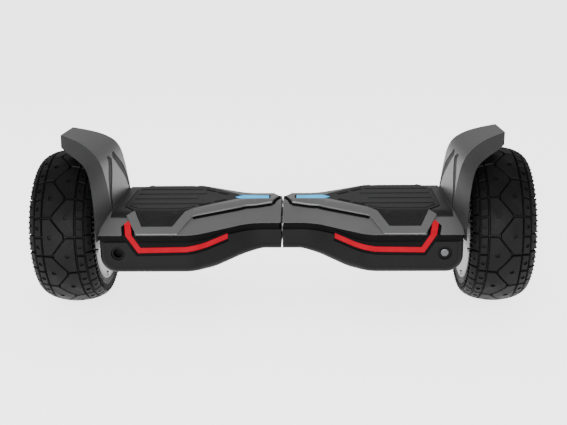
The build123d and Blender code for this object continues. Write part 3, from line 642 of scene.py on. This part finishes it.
# The pad's slots are drawn as black slabs: painted shade in place of their depth.
SLOT_LINE = ((112.0, -44.0), (78.0, -14.0))
SLOT_SPANS = ((0.0, 0.42), (0.56, 1.0))  # shares of the line
SLOT_HALF_WIDTH = 2.6
SLOT_HEIGHT, SLOT_CHAMFER = 0.3, 0.2


def point_on(line, share, aside):
    """A point along a line, moved sideways by a distance."""
    a, b = Vector(line[0]), Vector(line[1])
    run = (b - a).normalized()
    return a.lerp(b, share) + Vector((-run.y, run.x)) * aside


def band_between(points, low, high):
    """The part of an outline between two values of y."""
    return clipped(clipped(points, 1, low, True), 1, high, False)


def add_bands(bm, sign, height):
    """Wide low bands across the flat of the pad."""
    flat = [(sign * d, y) for d, y in inset_outline(PAD_FLAT, BAND_MARGIN)]
    outer_band = len(BAND_ENDS) - 1
    for i in range(-outer_band, outer_band + 1):
        middle = i * BAND_PITCH
        band = band_between(flat, middle - BAND_HALF_WIDTH, middle + BAND_HALF_WIDTH)
        band = clipped(band, 0, sign * BAND_ENDS[abs(i)], sign > 0)
        add_slab(bm, band, height, BAND_HEIGHT, BAND_CHAMFER)


def add_flap_panel(bm, sign, hand, height):
    """A framed panel of ribs on one of the pad's sloping flaps."""
    panel = [(sign * d, hand * y) for d, y in FLAP_PANEL]
    outer, inner = inset_outline(panel, -FLAP_FRAME_OUT), inset_outline(panel, FLAP_FRAME_IN)
    add_border(bm, outer, inner, height, FLAP_FRAME_HEIGHT, FLAP_FRAME_CHAMFER)
    field = inset_outline(panel, FLAP_RIB_MARGIN)
    nearest = min(abs(y) for _, y in field)
    for i in range(FLAP_RIBS):
        start = nearest + FLAP_FIRST_RIB + FLAP_RIB_PITCH * i
        low, high = sorted((hand * -start, hand * -(start + FLAP_RIB_WIDTH)))
        add_slab(bm, band_between(field, low, high), height, FLAP_RIB_HEIGHT, FLAP_RIB_CHAMFER)


def make_pad_relief(side, sign):
    """Bands across the mat and a rib panel on each flap."""
    bm = bmesh.new()
    height = surface_under(f"foot_pad_{side}")
    add_bands(bm, sign, height)
    for hand in (1, -1):
        add_flap_panel(bm, sign, hand, height)
    finish_mesh(f"foot_pad_relief_{side}", bm, "pad_rubber", f"{side}_pad")


def make_pad_slot_shade(side, sign):
    """Two low black slabs along each slanted side of the pad's inner end: painted shade in place of the pad's
    slots.
    """
    bm = bmesh.new()
    height = surface_under(f"foot_pad_{side}")
    for hand in (1, -1):
        for first, last in SLOT_SPANS:
            places = ((first, -1), (last, -1), (last, 1), (first, 1))
            corners = [point_on(SLOT_LINE, share, across * SLOT_HALF_WIDTH) for share, across in places]
            outline = [(sign * d, hand * y) for d, y in corners]
            add_slab(bm, outline, height, SLOT_HEIGHT, SLOT_CHAMFER)
    finish_mesh(f"foot_pad_slot_shade_{side}", bm, "belt_trim", f"{side}_pad")


# --- Painted shade in the groove round the pad frames ---
FRAME_EDGE = [(117.0, -78.0), (50.0, -29.0), (14.0, -21.0), (5.0, 0.0)]
# Width, height and chamfer of the black strip that paints the groove's shade
GROOVE_SHADE_WIDTH = 3.0
GROOVE_SHADE_HEIGHT, GROOVE_SHADE_CHAMFER = 2.5, 1.4


def add_strip(bm, path, width, height, thickness, chamfer):
    """A thin strip over a surface, to the right of a path, or to its left where the width is negative."""
    for (ax, ay), (bx, by) in zip(path, path[1:]):
        run = (Vector((bx, by)) - Vector((ax, ay))).normalized()
        out = Vector((run.y, -run.x)) * width
        corners = [(ax, ay), (bx, by), (bx + out.x, by + out.y), (ax + out.x, ay + out.y)]
        add_slab(bm, corners, height, thickness, chamfer)


def make_groove_shade_strip(side, sign):
    """A black strip along the outer edge of the raised frame: painted shade of the groove under that edge."""
    height = surface_under(f"top_cover_{side}")
    bm = bmesh.new()
    for hand in (1, -1):
        path = [(sign * d, hand * y) for d, y in FRAME_EDGE]
        add_strip(bm, path, -GROOVE_SHADE_WIDTH * sign * hand, height, GROOVE_SHADE_HEIGHT, GROOVE_SHADE_CHAMFER)
    finish_mesh(f"frame_groove_shade_{side}", bm, "belt_trim", f"{side}_half")


for side, sign in SIDES:
    make_tyre(side, sign)
    make_rim_face(side, sign)
    make_pad_relief(side, sign)
    make_pad_slot_shade(side, sign)
    make_groove_shade_strip(side, sign)


# --- Stage, light and camera, in metres ---
FLOOR_REACH = 40.0
# Name, place, aim, size and watts of each lamp.
SOFTBOXES = (
    ("front_key", (-0.3, -2.4, 0.5), (0, 0, 0.1), (2.4, 0.7), 110),
    ("left_fill", (-1.8, -0.7, 0.4), (-0.2, 0, 0.12), (0.9, 0.9), 9),
    ("right_fill", (1.8, -0.7, 0.4), (0.2, 0, 0.12), (0.9, 0.9), 9),
    ("back_rim", (0.0, 1.6, 1.2), (0, 0, 0.12), (1.8, 0.6), 3),
)
CAMERA_PLACE = (0.04039, -1.18892, 0.45322)
CAMERA_YAW, CAMERA_PITCH, CAMERA_ROLL = 1.902, 15.447, -0.754  # degrees: to the left, down and over
LENS_LENGTH, SENSOR_WIDTH = 55.55, 36.0  # mm


def make_floor():
    """A plain pale floor that gives off light, which keeps it bright and even all round the board."""
    reach = FLOOR_REACH
    mesh = bpy.data.meshes.new("studio_floor")
    mesh.from_pydata(
        [(-reach, -reach, 0), (reach, -reach, 0), (reach, reach, 0), (-reach, reach, 0)], [], [(0, 1, 2, 3)]
    )
    material, _, _, shader = node_material("studio_floor")
    shader.inputs["Base Color"].default_value = (0.93, 0.93, 0.93, 1)
    shader.inputs["Roughness"].default_value = 0.9
    shader.inputs["Emission Color"].default_value = (1, 1, 1, 1)
    shader.inputs["Emission Strength"].default_value = 2.5
    mesh.materials.append(material)
    floor = bpy.data.objects.new("studio_floor", mesh)
    bpy.context.scene.collection.objects.link(floor)


def make_softbox(name, place, aim, size, watts):
    """A rectangular lamp at a place, turned towards a point."""
    light = bpy.data.lights.new(name, "AREA")
    light.shape = "RECTANGLE"
    light.size, light.size_y = size
    light.energy = watts
    lamp = bpy.data.objects.new(name, light)
    lamp.location = place
    lamp.rotation_euler = (Vector(aim) - Vector(place)).to_track_quat("-Z", "Y").to_euler()
    bpy.context.scene.collection.objects.link(lamp)


def make_world():
    """Even white light from all round."""
    world = bpy.data.worlds.new("studio")
    world.use_nodes = True
    background = world.node_tree.nodes["Background"]
    background.inputs["Color"].default_value = (1, 1, 1, 1)
    background.inputs["Strength"].default_value = 0.85
    bpy.context.scene.world = world


def make_camera():
    """The viewing angle: a little above the deck, almost square to the front."""
    camera_data = bpy.data.cameras.new("camera")
    camera_data.sensor_width = SENSOR_WIDTH
    camera_data.lens = LENS_LENGTH
    camera = bpy.data.objects.new("camera", camera_data)
    yaw, pitch, roll = (math.radians(angle) for angle in (CAMERA_YAW, CAMERA_PITCH, CAMERA_ROLL))
    forward = Vector((-math.sin(yaw) * math.cos(pitch), math.cos(yaw) * math.cos(pitch), -math.sin(pitch)))
    level_right = Vector((math.cos(yaw), math.sin(yaw), 0))
    level_up = level_right.cross(forward)
    right = level_right * math.cos(roll) + level_up * math.sin(roll)
    up = right.cross(forward)
    turned = Matrix((right, up, -forward)).transposed().to_4x4()
    camera.matrix_world = Matrix.Translation(CAMERA_PLACE) @ turned
    bpy.context.scene.collection.objects.link(camera)
    bpy.context.scene.camera = camera


make_floor()
for lamp_values in SOFTBOXES:
    make_softbox(*lamp_values)
make_world()
make_camera()
